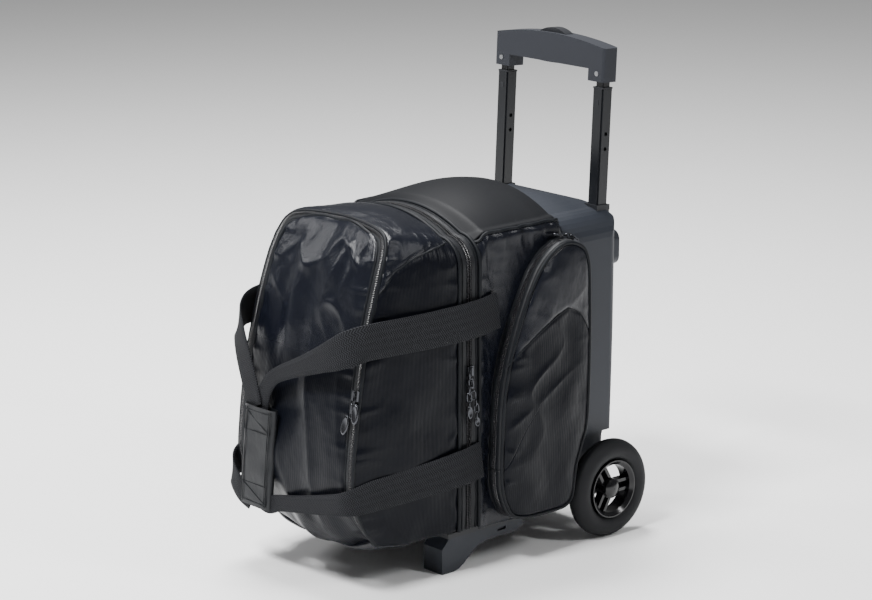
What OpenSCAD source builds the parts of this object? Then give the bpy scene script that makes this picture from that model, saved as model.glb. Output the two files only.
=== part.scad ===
// Wheeled single-ball bowling bag with a two-stage telescopic handle.
// Front of the bag faces -Y, +X is the bag's left-hand wheel side seen from behind, ground is Z = 0.

/* [Running gear] */
// wheel outside diameter
wheel_d = 127; // [100:1:150]
// distance from bag centre to wheel centre plane
wheel_x = 140; // [120:1:160]
// wheel axle position behind bag centre
axle_y = 174; // [150:1:190]
// tyre section diameter
tyre_w = 27.6; // [20:0.2:34]
// stub axle diameter
axle_d = 8; // [6:1:12]

/* [Ball section] */
// half width of the ball section
bag_hw = 122; // [115:1:135]
// height of the shoulder line
shoulder_z = 424; // [380:1:440]
// rise of the crown above the shoulder
crown = 17; // [10:1:30]
// front edge of the ball section
ball_y0 = -36; // [-50:1:-20]
// joint between soft bag and rear shell
shell_y = 112; // [104:1:150]
// soft wall thickness
wall = 3.5; // [2:0.5:6]
// ball diameter the bag is made for
ball_d = 216; // [210:1:220]

/* [Shoe section] */
// half width at the rear of the shoe section
shoe_hw = 124; // [115:1:130]
// half width at the front of the shoe section
shoe_hw_front = 110; // [95:1:120]
// height of the front flap fold
fold_z = 346; // [320:1:370]

/* [Handle] */
// half distance between handle tubes
tube_x = 87; // [70:1:100]
// backward lean of shell and tubes, degrees
lean = 2.7; // [0:0.1:5]
// first stage tube, outside
tube1 = 18; // [16:0.5:22]
// second stage tube, outside
tube2 = 12.5; // [10:0.5:14]
// first stage tube showing above the shell
stage1_up = 152; // [5:1:220]
// grip half length
grip_hx = 99; // [90:1:110]
// grip depth
grip_dy = 25; // [20:1:30]

/* [Carrying straps] */
// webbing width
web_w = 38; // [30:1:50]
// webbing thickness
web_t = 2; // [1:0.2:3]

/* [Hidden] */
wheel_r = wheel_d / 2;
tyre_r = tyre_w / 2;
tyre_c = wheel_r - tyre_r;
bead_r = 37.6;
axle_r = axle_d / 2;
tube_y = 201;
tube_z = 416;
zip_y = -54;
zip_gap = 0.4;
hinge_y = -88;
hinge_z = 50;
sleeve_in = tube1 + 0.8;
sleeve_out = sleeve_in + 3;
s1_len = 355;
s1_z0 = stage1_up - s1_len;
s2_z0 = stage1_up - 291;
grip_z = stage1_up + 9;
pocket_x = bag_hw + 0.2;
fabric = [0.10, 0.11, 0.14];
nylon = [0.16, 0.18, 0.23];
shell_col = [0.24, 0.27, 0.31];
metal = [0.07, 0.07, 0.08];
steel = [0.55, 0.56, 0.58];
$fn = 48;

// side outline of the ball pocket face, rear edge stepped forward round the wheel
pocket_pts = [[-17, 127], [-15, 100], [-8, 79], [3, 65], [22, 59], [48, 57], [84, 57], [98, 61],
  [105, 72], [108, 92], [112, 112], [120, 134], [128, 158], [131, 197], [132, 278], [130, 350],
  [127, 372], [120, 386], [105, 395], [86, 397], [66, 389], [46, 371], [28, 342], [12, 306],
  [-3, 264], [-13, 215], [-16, 165]];
// side line of the front zip, from the bottom to the crown
front_pts = [[-203, 70], [-216, 88], [-224, 114], [-225, 139], [-222, 176], [-215, 224], [-207, 272],
  [-194, 330], [-190, fold_z], [-176, 381], [-159, 414], [-143, 436]];
// first corner of the folding flap in front_pts
fold_i = 8;
belly_pts = [[-185, 52], [-165, 44], [-125, 43], [hinge_y - 1, 49.5], [zip_y - 18, 53]];

// ---------- helpers ----------

// flat arch in X-Y of the sketch: half width, bottom, shoulder height, corner radius, crown rise
function arch_half(hw, zt, rc, cr) = let (hc = hw - rc, big = (hc * hc + cr * cr) / (2 * cr), a = asin(hc / big)) concat(
  [for (i = [0:8]) [hc + rc * cos(i * 90 / 8), zt - rc + rc * sin(i * 90 / 8)]],
  [for (i = [1:7]) [big * sin(a * (1 - i / 8)), zt + cr - big + big * cos(a * (1 - i / 8))]]);
module arch2d(hw, zb, zt, rc, cr) {
  half = arch_half(hw, zt, rc, cr);
  polygon(concat([[hw, zb]], half, [[0, zt + cr]], [for (i = [len(half) - 1:-1:0]) [-half[i][0], half[i][1]]], [[-hw, zb]]));
}

// arch lofted straight along Y from y0 to y1
module arch(y0, y1, hw, zb, zt, rc, cr)
  translate([0, y1, 0]) rotate([90, 0, 0]) linear_extrude(y1 - y0) arch2d(hw, zb, zt, rc, cr);

// inverted U band round the bag
module arch_band(y0, y1, hw, zb, zt, cr, t)
  difference() {
    arch(y0, y1, hw, zb, zt, 32, cr);
    arch(y0 - 1, y1 + 1, hw - t, zb - 20, zt - t, 32 - t, cr);
  }

// side outline pulled along X, from x0 to x1
module along_x(x0, x1) translate([x0, 0, 0]) rotate([90, 0, 90]) linear_extrude(x1 - x0) children();

// plan outline pulled up along Z
module along_z(z0, z1) translate([0, 0, z0]) linear_extrude(z1 - z0) children();

// square block centred in X and Y
module post(w, z0, z1) translate([-w / 2, -w / 2, z0]) cube([w, w, z1 - z0]);

// handle frame: origin at the shell top between the tubes, Z along the tubes
module leaned() translate([0, tube_y, tube_z]) rotate([-lean, 0, 0]) children();

module both() for (s = [-1, 1]) translate([s * tube_x, 0, 0]) children();

function pull(p, q, d) = let (l = norm(q - p)) [(p[1] - q[1]) / l * d, (q[0] - p[0]) / l * d];
// a line of points moved sideways by d, keeping its ends level with the neighbouring piece
function beside(pts, d) = [for (i = [0:len(pts) - 1])
  let (a = pts[max(i - 1, 0)], b = pts[min(i + 1, len(pts) - 1)]) pts[i] + pull(a, b, d)];
function part_of(pts, a, b) = [for (i = [a:b]) pts[i]];
function backwards(pts) = [for (i = [len(pts) - 1:-1:0]) pts[i]];
// closed strip between two parallel lines
function strip(pts, d0, d1) = concat(beside(pts, d0), backwards(beside(pts, d1)));

// ---------- rear shell and running gear ----------

module shell_side(d) polygon([[shell_y - d, 46 + d], [190 - d, 46 + d], [196 - d, 53 + d], [199.5 - d, 132],
  [204 - d, 247], [208 - d, 312], [210.5 - d, 372], [211 - d, 398], [209 - d, 409 - d / 2],
  [203 - d, 419 - d], [194 - d, 424 - d], [178, 429 - d], [shell_y - d, 437 - d]]);
module shell_plan(d) {
  translate([-117 + d, shell_y - d - 1]) square([234 - 2 * d, 197 - shell_y]);
  translate([-103, shell_y - d - 1]) square([206, 212.5 - shell_y]);
  for (s = [-1, 1]) translate([s * 103, 196.5]) circle(r = 14 - d);
}
module shell_solid(d) difference() {
  intersection() {
    along_x(-118, 118) shell_side(d);
    arch(shell_y - d, 220, 117 - d, 40, 418 - d, 34 - d, 15);
    along_z(40, 440) shell_plan(d);
  }
  for (s = [-1, 1]) {
    translate([s * (122 - d), 175, 80 + d]) cube([20, 90, 96], center = true);
    translate([s * (123 - d), 206 - d, 80 + d]) cube([40, 40, 102], center = true);
  }
}
// moulded channels down the back for the handle sleeves, kept flush under the bumper
module channels() difference() {
  leaned() both() post(sleeve_out + 6, -364, -8);
  translate([-109, 211, 340]) cube([218, 12, 49]);
}
module rear_shell() color(shell_col) difference() {
  union() {
    shell_solid(0);
    channels();
  }
  shell_solid(3);
  leaned() both() post(sleeve_out + 0.8, -361, 30);
  for (s = [-1, 1]) translate([s * 118, axle_y, wheel_r]) rotate([0, 90, 0]) cylinder(r = axle_r + 0.05, h = 30, center = true);
  for (s = [-1, 1]) translate([s * 60, 215, 364]) rotate([90, 0, 0]) cylinder(r = 2.1, h = 20);
}
module rear_bumper() color(metal) difference() {
  union() {
    translate([-96, 211, 342]) cube([192, 10, 45]);
    for (s = [-1, 1], z = [354, 375]) translate([s * 96, 221, z]) rotate([90, 0, 0]) cylinder(r = 12, h = 10);
    translate([-108, 211, 354]) cube([216, 10, 21]);
  }
  for (s = [-1, 1]) translate([s * 60, 230, 364]) rotate([90, 0, 0]) cylinder(r = 2.1, h = 25);
  for (s = [-1, 1]) translate([s * 60, 222, 364]) rotate([90, 0, 0]) cylinder(r = 4.2, h = 4);
}
module bumper_screws() color(steel) for (s = [-1, 1]) translate([s * 60, 0, 364]) {
  translate([0, 220.5, 0]) rotate([90, 0, 0]) cylinder(r = 4, h = 2.5);
  translate([0, 218.2, 0]) rotate([90, 0, 0]) cylinder(r = 2, h = 16);
}
module base_board() color(metal) difference() {
  union() {
    translate([-116, -78, 45]) cube([232, shell_y - 0.2 + 78, 6]);
    translate([-108.5, shell_y - 2, 45 + 4.2]) cube([217, 180 - shell_y, 1.8]);
  }
  for (s = [-1, 1], y = [-4, 30]) translate([s * 97, y, 40]) cylinder(r = 2.1, h = 20);
}
module foot(s) color(shell_col) difference() {
  along_x(s > 0 ? 80 : -114, s > 0 ? 114 : -80) polygon([[-86, 0], [-67, 0], [-58, 2], [-50, 7], [-42, 14], [-34, 20],
    [-24, 25.5], [-9, 28.5], [8, 29], [38, 29], [52, 36], [48, 44.8], [-74, 44.8], [-86, 32]]);
  for (y = [-4, 30]) translate([s * 97, y, 20]) cylinder(r = 2.1, h = 40);
  for (y = [-4, 30]) translate([s * 97, y, 27]) cylinder(r = 4.2, h = 5);
  translate([s * 114, 14, 38]) cube([6, 14, 4], center = true);
}
module foot_left() foot(-1);
module foot_right() foot(1);
module foot_screws() color(steel) for (s = [-1, 1], y = [-4, 30]) translate([s * 97, y, 0]) {
  translate([0, 0, 29.2]) cylinder(r = 4, h = 2.8);
  translate([0, 0, 31.9]) cylinder(r = 2, h = 19);
}
module axle(s) color(steel) translate([s * 109, axle_y, wheel_r]) rotate([0, s * 90, 0]) {
  cylinder(r = axle_r, h = 39);
  translate([0, 0, 3]) difference() { cylinder(r = 8, h = 14.3); translate([0, 0, -1]) cylinder(r = axle_r, h = 20); }
  translate([0, 0, -5]) cylinder(r = 7, h = 5);
}
module axle_left() axle(-1);
module axle_right() axle(1);
module axle_clips() color(steel) for (s = [-1, 1]) translate([s * 146.4, axle_y, wheel_r]) rotate([0, s * 90, 0])
  difference() { cylinder(r = 7, h = 1); translate([0, 0, -1]) cylinder(r = axle_r, h = 3); }

module tyre(s) color(metal) translate([s * wheel_x, axle_y, wheel_r]) rotate([0, 90, 0]) rotate_extrude($fn = 96)
  difference() {
    translate([tyre_c, 0]) circle(r = tyre_r);
    translate([0, -20]) square([bead_r, 40]);
    for (g = [-4.5, 0, 4.5]) translate([wheel_r - 0.6, g - 0.5]) square([3, 1]);
  }
module tyre_left() tyre(-1);
module tyre_right() tyre(1);
module rim(s) color([0.05, 0.05, 0.06]) translate([s * wheel_x, axle_y, wheel_r]) rotate([0, s * 90, 0]) difference() {
  union() {
    rotate_extrude($fn = 96) polygon([[31.5, -9], [36.4, -12], [37.6, -12], [37.6, 4], [37.6, 12.4], [36, 12.4], [31.5, 8.5]]);
    translate([0, 0, -13.4]) cylinder(r = 13, h = 19);
    intersection() {
      union() for (a = [90, 210, 330]) rotate([0, 0, a]) {
        translate([8, 4, -6]) cube([26, 4.2, 11.2]);
        translate([8, -8.2, -6]) cube([26, 4.2, 11.2]);
        translate([8, -7, -6]) cube([26, 14, 4]);
      }
      translate([0, 0, -10]) cylinder(r = 33, h = 30);
    }
  }
  translate([0, 0, -20]) cylinder(r = axle_r + 0.05, h = 40);
}
module rim_left() rim(-1);
module rim_right() rim(1);
module hub_cap(s) color([0.05, 0.05, 0.06]) translate([s * (wheel_x + 5.6), axle_y, wheel_r]) rotate([0, s * 90, 0]) difference() {
  intersection() {
    cylinder(r = 14, h = 8, $fn = 6);
    cylinder(r = 12.6, h = 8);
    translate([0, 0, -14.5]) sphere(r = 22);
  }
  translate([0, 0, -1]) cylinder(r = 8.5, h = 5);
}
module hub_cap_left() hub_cap(-1);
module hub_cap_right() hub_cap(1);

// ---------- handle ----------

module handle_sleeves() color(metal) leaned() both() difference() {
  post(sleeve_out, -358, -2);
  post(sleeve_in, -359, 0);
}
module sleeve_collars() color(metal) leaned() both() difference() {
  post(sleeve_out + 0.6, -1.8, 5);
  post(sleeve_in, -5, 10);
}
module sleeve_bracket() color(metal) leaned() translate([-97.9, -11.4, -360.8]) cube([195.8, 19, 2.8]);
module stage1_tubes() color(metal) leaned() both() difference() {
  post(tube1, s1_z0, stage1_up);
  post(tube2 + 0.6, s1_z0 - 1, stage1_up + 1);
  for (i = [-1, 1], j = [-1, 1]) translate([i * tube1 / 2, j * tube1 / 2, stage1_up - s1_len / 2]) cube([3.4, 3.4, s1_len + 2], center = true);
  for (z = [stage1_up - 57, stage1_up - 76]) translate([0, 0, z]) rotate([0, 90, 0]) cylinder(r = 2.6, h = 30, center = true);
}
module stage1_collars() color(metal) leaned() both() {
  difference() { post(tube1 - 0.6, stage1_up, stage1_up + 2); post(tube2 + 0.6, stage1_up - 1, stage1_up + 4); }
  translate([-2.5, -tube1 / 2 - 0.35, stage1_up - 20]) cube([5, 0.35, 6]);
}
module stage2_tubes() color(metal) leaned() both() difference() {
  post(tube2, s2_z0, grip_z + 24);
  post(tube2 - 3, s2_z0 - 1, grip_z + 25);
  for (i = [-1, 1], j = [-1, 1]) translate([i * tube2 / 2, j * tube2 / 2, 30]) cube([1.6, 1.6, 400], center = true);
  translate([0, 0, grip_z + 10]) rotate([90, 0, 0]) cylinder(r = 1.7, h = 20);
}
module lock_blocks() color(nylon) leaned() both() difference() {
  post(tube2 - 3, s2_z0 + 0.5, s2_z0 + 22);
  translate([0, 0, s2_z0 + 8]) cylinder(r = 1.45, h = 20);
}
module grip_side(z0, z1, cr, hx) {
  big = ((hx + 3) * (hx + 3) + cr * cr) / (2 * cr);
  intersection() {
    translate([-hx - 3, z0]) square([2 * hx + 6, z1 - z0 + cr + 1]);
    translate([0, z1 + cr - big]) circle(r = big, $fn = 180);
  }
}
grip_split = 35;
module grip_plan() {
  translate([-grip_hx + 4, -grip_dy / 2]) square([2 * grip_hx - 8, grip_dy]);
  translate([-grip_hx, -grip_dy / 2 + 4]) square([2 * grip_hx, grip_dy - 8]);
  for (i = [-1, 1], j = [-1, 1]) translate([i * (grip_hx - 4), j * (grip_dy / 2 - 4)]) circle(r = 4);
}
module grip_blank() intersection() {
  translate([0, grip_dy / 2, 0]) rotate([90, 0, 0]) linear_extrude(grip_dy) difference() {
    grip_side(0, 42, 10, grip_hx);
    difference() {
      translate([-72, -1]) square([144, 16]);
      translate([0, 16 + 320]) circle(r = 321.5, $fn = 180);
    }
    translate([-60, -1]) square([120, 12]);
  }
  linear_extrude(60) grip_plan();
}
module grip_body() color(shell_col) leaned() translate([0, 0, grip_z]) difference() {
  intersection() { grip_blank(); translate([-110, -20, -1]) cube([220, 40, grip_split + 1]); }
  both() post(tube2 + 0.1, -1, 24);
  both() cylinder(r = 3, h = 60);
  translate([-91, -4, 28]) cube([182, 8, 20]);
  both() rotate([90, 0, 0]) translate([0, 10, 0]) cylinder(r = 1.7, h = 30);
  both() translate([0, -grip_dy / 2 + 1.5, 10]) rotate([90, 0, 0]) cylinder(r = 3.4, h = 5);
}
module grip_cover() color(shell_col) leaned() translate([0, 0, grip_z]) difference() {
  intersection() { grip_blank(); translate([-110, -20, grip_split]) cube([220, 40, 30]); }
  translate([-91, -4, 30]) cube([182, 8, 10]);
  translate([-23.6, -7.1, 30]) cube([47.2, 14.2, 40]);
}
module grip_screws() color(steel) leaned() translate([0, 0, grip_z + 10]) both() {
  translate([0, -grip_dy / 2 + 1.2, 0]) rotate([90, 0, 0]) cylinder(r = 3.2, h = 1.8);
  translate([0, -grip_dy / 2 + 1.3, 0]) mirror([0, 1, 0]) rotate([90, 0, 0]) cylinder(r = 1.6, h = 6.5);
}
module grip_button() color(metal) leaned() translate([0, 0, grip_z]) {
  intersection() {
    translate([-23, -6.8, 42]) cube([46, 13.6, 30]);
    translate([0, 10, 58 - 46]) rotate([90, 0, 0]) cylinder(r = 46, h = 20, $fn = 120);
  }
  translate([-6, -3.5, 37]) cube([12, 7, 6]);
}
module release_rods() color(steel) leaned() translate([0, 0, grip_z]) {
  translate([-89, -3.5, 33]) cube([178, 7, 4]);
  both() translate([0, 0, -286]) cylinder(r = 1.4, h = 320);
}
module button_spring() color(steel) leaned() translate([0, 0, grip_z + 28]) difference() {
  cylinder(r = 3.4, h = 5);
  translate([0, 0, -1]) cylinder(r = 2.4, h = 8);
}

// ---------- soft ball section ----------

module ball_walls() color(fabric) difference() {
  arch(ball_y0 + 0.1, shell_y - 0.1, bag_hw, 51.2, shoulder_z, 14, crown);
  arch(ball_y0 - 1, shell_y + 1, bag_hw - wall, 51.2 + 2, shoulder_z - wall, 14 - wall, crown);
}
module top_panel() color(metal) {
  top_pad();
  for (s = [-1, 1]) translate([s * (bag_hw - 2.7), shell_y - 0.6, shoulder_z - 2.7]) rotate([90, 0, 0])
    cylinder(r = 1.9, h = shell_y - ball_y0 - 1.2, $fn = 24);
}
module top_pad() intersection() {
  along_x(-108, 108) polygon([[ball_y0 + 0.5, 410], [ball_y0 + 0.5, 444], [-10, 453], [30, 457], [75, 454],
    [shell_y - 0.5, 446], [shell_y - 0.5, 410]]);
  difference() {
    arch(ball_y0, shell_y, 118, 380, shoulder_z + 3, 12, crown + 18);
    arch(ball_y0 - 1, shell_y + 1, bag_hw + 0.1, 40, shoulder_z + 0.1, 14, crown);
  }
}
module ball_cup() color([0.2, 0.2, 0.22]) difference() {
  translate([0, 56, 53.3]) cylinder(r = 86, h = 38, $fn = 96);
  translate([0, 56, 62 + ball_d / 2]) sphere(r = ball_d / 2 + 0.5, $fn = 96);
}
module back_lining() color(nylon) difference() {
  intersection() {
    translate([-120, 168.2, 52.5]) cube([240, 2.4, 370]);
    arch(150, 190, 108.5, 52.5, 405, 30, 18);
  }
  for (s = [-1, 1]) translate([s * 108, 165, 50]) cube([12, 20, 46], center = true);
}
module main_zip_rear() color(fabric) {
  arch_band(zip_y + zip_gap, ball_y0, 125.5, 53, 418.5, 23, 5);
  arch_band(zip_y + zip_gap, zip_y + 3, 126.6, 56, 419.6, 23, 2);
  arch_band(ball_y0 - 4.2, ball_y0, 128, 53, 421, 23, 4);
}
module main_zip_front() color(fabric) {
  arch_band(zip_y - 18, zip_y - zip_gap, 125.5, 56, 418.5, 23, 5);
  arch_band(zip_y - 3, zip_y - zip_gap, 126.6, 56, 419.6, 23, 2);
  arch_band(zip_y - 18, zip_y - 14, 128, 56, 421, 23, 4);
}

// ---------- side pockets ----------

pocket_mid = [58, 225];
module pocket_face(k) translate(pocket_mid) scale([1 + k / 74, 1 + k / 170]) translate(-pocket_mid) polygon(pocket_pts);
module sided(s, x0, x1) along_x(s > 0 ? x0 : -x1, s > 0 ? x1 : -x0) children();
module pocket(s) color(fabric) difference() {
  union() {
    sided(s, pocket_x, 134) pocket_face(0);
    intersection() {
      sided(s, 117.2, pocket_x + 1) pocket_face(0);
      translate([-200, shell_y + 0.2, 0]) cube([400, 60, 500]);
    }
  }
  sided(s, pocket_x - 7, 136) pocket_face(-3);
}
module pocket_left() pocket(-1);
module pocket_right() pocket(1);
module pocket_zips() color(metal) for (s = [-1, 1]) difference() {
  sided(s, 130, 134) pocket_face(1.3);
  sided(s, 129, 136) pocket_face(0.05);
}
module flap(s) color(nylon) difference() {
  union() {
    sided(s, 134.5, 147) pocket_face(0);
    sided(s, 146, 149.4) pocket_face(0.4);
  }
  sided(s, 134, 144) pocket_face(-3);
  sided(s, 147.4, 150) pocket_face(-3.6);
}
module flap_left() flap(-1);
module flap_right() flap(1);

// ---------- shoe section ----------

module shoe_plan(d) polygon([[-shoe_hw + d, zip_y - 18], [shoe_hw - d, zip_y - 18], [shoe_hw_front - d, -230], [-shoe_hw_front + d, -230]]);
module shoe_arch(d) arch(-240, zip_y - 10, shoe_hw - d, 30, 416 - d, 32 - d, 23);
module shoe_walls() color(nylon) difference() {
  intersection() {
    along_x(-125, 125) polygon(concat(belly_pts, [[zip_y - 18, 445]], backwards(front_pts)));
    along_z(30, 450) shoe_plan(0);
    shoe_arch(0);
  }
  intersection() {
    along_x(-125, 125) polygon([[-208, 90], [-180, 58], [-160, 48], [-125, 47], [hinge_y, 53.5], [zip_y - 10, 57],
      [zip_y - 10, 450], [-138, 450], [-156, 411], [-172, 379], [-190, 328], [-203, 272], [-211, 224], [-218, 176], [-221, 139], [-220, 115]]);
    along_z(30, 450) shoe_plan(4);
    shoe_arch(4);
  }
  along_x(-98, 98) polygon(concat([[-150, 120], [-150, 400], [-130, 431]], [[-143.5, 445], [-260, 400], [-260, 120]]));
}
module shoe_divider() color(fabric) intersection() {
  translate([-130, zip_y - 18 + 0.2, 57]) cube([260, 3.5, 400]);
  arch(-90, -50, 120.2, 57, 413.2, 27, 22);
}
module front_panel() color(nylon) along_x(-100, 100) polygon(strip(part_of(front_pts, 1, fold_i), 0.3, 5));
module front_flap() color(nylon) translate([0, 0, 0]) intersection() {
  along_x(-100, 100) polygon(strip(part_of(front_pts, fold_i, 11), 0.3, 5));
  translate([0, 0, 0.8]) translate([-110, -240, fold_z]) cube([220, 120, 120]);
  arch(-240, -120, 100, 300, 411, 30, 30);
}
module front_zip() color(metal) difference() {
  intersection() {
    along_x(-110, 110) polygon(strip(front_pts, 0.1, 3));
    arch(-240, -120, 109.5, 30, 416, 32, 22);
  }
  intersection() {
    translate([-100.6, -260, 30]) cube([201.2, 140, 500]);
    arch(-240, -120, 100.6, 0, 411.6, 30.2, 30);
  }
}

// ---------- straps ----------

module blade(p, w, a) translate(p) rotate([0, 0, a]) translate([-web_t / 2, -1, -w / 2]) cube([web_t, 2, w]);
module run(p, q, w, a, b) hull() { blade(p, w, a); blade(q, w, b); }
module strap(s) color(metal) mirror([s > 0 ? 0 : 1, 0, 0]) {
  run([131.5, -14, 327], [134.5, -40, 324], web_w, 0, 0);
  run([134.5, -40, 324], [133.5, -74, 322], web_w, 0, 0);
  run([133.5, -74, 322], [117, -196, 318], web_w, 0, 0);
  run([131.5, -40, 143], [133.5, -74, 138], web_w, 0, 0);
  run([133.5, -74, 138], [117, -226, 124], web_w, 0, 0);
}
module strap_right() {
  strap(1);
  color(metal) {
    run([117, -196, 318], [104, -222, 310], web_w, 0, -60);
    run([104, -222, 310], [-22, -235.5, 246], web_w, -60, -85);
    run([117, -226, 124], [104, -235.5, 120], web_w * 0.8, 0, -80);
    run([104, -235.5, 120], [-20, -235.5, 96], web_w * 0.7, -80, -90);
  }
}
module strap_left() {
  strap(-1);
  color(metal) {
    run([-117, -196, 318], [-104, -224, 306], web_w, 0, 60);
    run([-104, -224, 306], [-76, -235.5, 242], web_w, 60, 85);
    run([-117, -226, 124], [-106, -235.5, 116], web_w * 0.8, 0, 80);
    run([-106, -235.5, 116], [-88, -235.5, 98], web_w * 0.7, 80, 90);
  }
}
module strap_wrap() color(fabric) hull() {
  translate([-72, -237.4, 208]) cube([54, 6.2, 5]);
  translate([-82, -237.5, 82]) cube([54, 6.2, 5]);
}

// ---------- zip sliders and pulls ----------

// slider with its back face in the Y-Z plane and its bridge towards +X
module slider_body() difference() {
  union() {
    translate([0.6, -4.5, -6]) cube([3.2, 9, 12]);
    translate([3.7, -1.6, -5]) cube([3.2, 3.2, 10]);
  }
  translate([3.8, -2, -2.2]) cube([1.9, 4, 6]);
}
// pull hanging from a round bar through the slider's bridge, its tag set over to one side
bar_x = 4.75;
module pull_tag(len, dy, bend = 0) translate([bar_x, 0, 0]) rotate([0, -4, 0]) {
  rotate([90, 0, 0]) cylinder(r = 0.55, h = 5.4, center = true);
  for (y = [-3, 1.9]) translate([-0.55, y, -6.5]) cube([1.1, 1.1, 6.8]);
  translate([-0.8, min(-3, dy - 4), -9.3]) cube([1.6, max(3, dy + 4) - min(-3, dy - 4), 3]);
  translate([0, 0, -8.6]) rotate([0, bend, 0]) translate([-0.8, dy - 4, 8.6 - len]) cube([1.6, 8, len - 8.4]);
}
main_x = 126.8;
module on_main(z) translate([main_x, zip_y, z]) children();
module slider_main_upper() color(steel) on_main(258) slider_body();
module slider_main_lower() color(steel) on_main(242) slider_body();
module pull_main_upper() color(steel) on_main(258) pull_tag(58, -7.4);
module pull_main_lower() color(steel) on_main(242) pull_tag(54, 7.4);

// the front zip's straight stretch leans with the panel
front_lean = 8.6;
front_x = 105.4;
module on_front(z) translate([front_x, -210.5 + (z - 250) * tan(front_lean), z])
  rotate([-front_lean, 0, 0]) rotate([0, 0, -90]) translate([3.2, 0, 0]) children();
module slider_front_upper() color(steel) on_front(252) slider_body();
module slider_front_lower() color(steel) on_front(236) slider_body();
module pull_front_upper() color(steel) on_front(252) pull_tag(30, 7.4);
module pull_front_lower() color(steel) on_front(236) pull_tag(30, -7.4);

// pocket slider runs round the crown of the pocket about this centre
arc_y = 88;
arc_z = 351;
arc_r = 49.2;
arc_start = 34;
module on_arc(s) translate([s * 132, arc_y, arc_z]) rotate([-arc_start, 0, 0]) translate([0, 0, arc_r])
  rotate([0, 0, -90]) rotate([0, -90, 0]) children();
module slider_pocket(s) color(steel) on_arc(s) slider_body();
module slider_pocket_left() slider_pocket(-1);
module slider_pocket_right() slider_pocket(1);
module pull_pocket(s) color(steel) on_arc(s) pull_tag(38, 0, 26);
module pull_pocket_left() pull_pocket(-1);
module pull_pocket_right() pull_pocket(1);

rear_shell();
rear_bumper();
bumper_screws();
base_board();
foot_left();
foot_right();
foot_screws();
axle_left();
axle_right();
axle_clips();
handle_sleeves();
sleeve_collars();
sleeve_bracket();
ball_walls();
top_panel();
ball_cup();
back_lining();
main_zip_rear();
pocket_left();
pocket_right();
pocket_zips();
shoe_walls();
shoe_divider();
main_zip_front();
front_panel();
front_zip();
front_flap();
flap_left();
flap_right();
tyre_left();
tyre_right();
rim_left();
rim_right();
hub_cap_left();
hub_cap_right();
stage1_tubes();
stage1_collars();
stage2_tubes();
lock_blocks();
grip_body();
grip_cover();
grip_screws();
button_spring();
grip_button();
release_rods();
strap_left();
strap_right();
strap_wrap();
slider_main_upper();
slider_main_lower();
pull_main_upper();
pull_main_lower();
slider_front_upper();
slider_front_lower();
pull_front_upper();
pull_front_lower();
slider_pocket_left();
slider_pocket_right();
pull_pocket_left();
pull_pocket_right();
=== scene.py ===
import bpy
import math
import numpy as np
from mathutils import Matrix, Vector


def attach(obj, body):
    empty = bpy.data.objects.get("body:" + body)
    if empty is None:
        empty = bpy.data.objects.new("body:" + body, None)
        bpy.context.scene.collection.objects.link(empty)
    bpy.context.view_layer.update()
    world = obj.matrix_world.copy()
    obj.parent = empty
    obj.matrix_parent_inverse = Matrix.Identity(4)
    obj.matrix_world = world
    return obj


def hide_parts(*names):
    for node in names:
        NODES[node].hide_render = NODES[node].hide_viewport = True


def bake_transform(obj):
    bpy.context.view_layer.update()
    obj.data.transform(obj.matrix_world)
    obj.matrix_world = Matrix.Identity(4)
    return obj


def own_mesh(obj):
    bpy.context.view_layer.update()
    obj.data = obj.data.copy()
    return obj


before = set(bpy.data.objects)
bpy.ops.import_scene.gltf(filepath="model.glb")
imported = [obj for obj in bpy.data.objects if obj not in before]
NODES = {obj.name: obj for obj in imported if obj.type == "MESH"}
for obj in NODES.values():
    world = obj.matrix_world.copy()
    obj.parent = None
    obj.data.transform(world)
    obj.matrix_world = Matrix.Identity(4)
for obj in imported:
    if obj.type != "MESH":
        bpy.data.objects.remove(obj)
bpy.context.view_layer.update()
MM = 0.001

# ---------------------------------------------------------------- numbers helpers
N_TABLES, CELLS, FIRST_SEED = 12, 128, 20  # noise tables, cells along each side of one, seed of the first
_tables = [np.random.default_rng(FIRST_SEED + k).random((CELLS, CELLS)) for k in range(N_TABLES)]


def noise(x, y, seed=0):
    """Smooth value noise from -1 to 1."""
    t = _tables[seed % N_TABLES]
    x, y = np.broadcast_arrays(np.asarray(x, float), np.asarray(y, float))
    xi, yi = np.floor(x).astype(int), np.floor(y).astype(int)
    fx, fy = x - xi, y - yi
    fx, fy = fx * fx * (3 - 2 * fx), fy * fy * (3 - 2 * fy)
    g = lambda a, b: t[a % CELLS, b % CELLS]
    lo = g(xi, yi) * (1 - fx) + g(xi + 1, yi) * fx
    hi = g(xi, yi + 1) * (1 - fx) + g(xi + 1, yi + 1) * fx
    return (lo * (1 - fy) + hi * fy) * 2 - 1


def ridge(x, y, seed=0):
    """Soft creases: 1 along a crease, falling away to both sides."""
    return (1 - np.abs(noise(x, y, seed))) ** 3


def ease(x, lo, hi):
    """0 at lo, 1 at hi, with a smooth step between."""
    t = np.clip((x - lo) / (hi - lo), 0, 1)
    return t * t * (3 - 2 * t)


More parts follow.
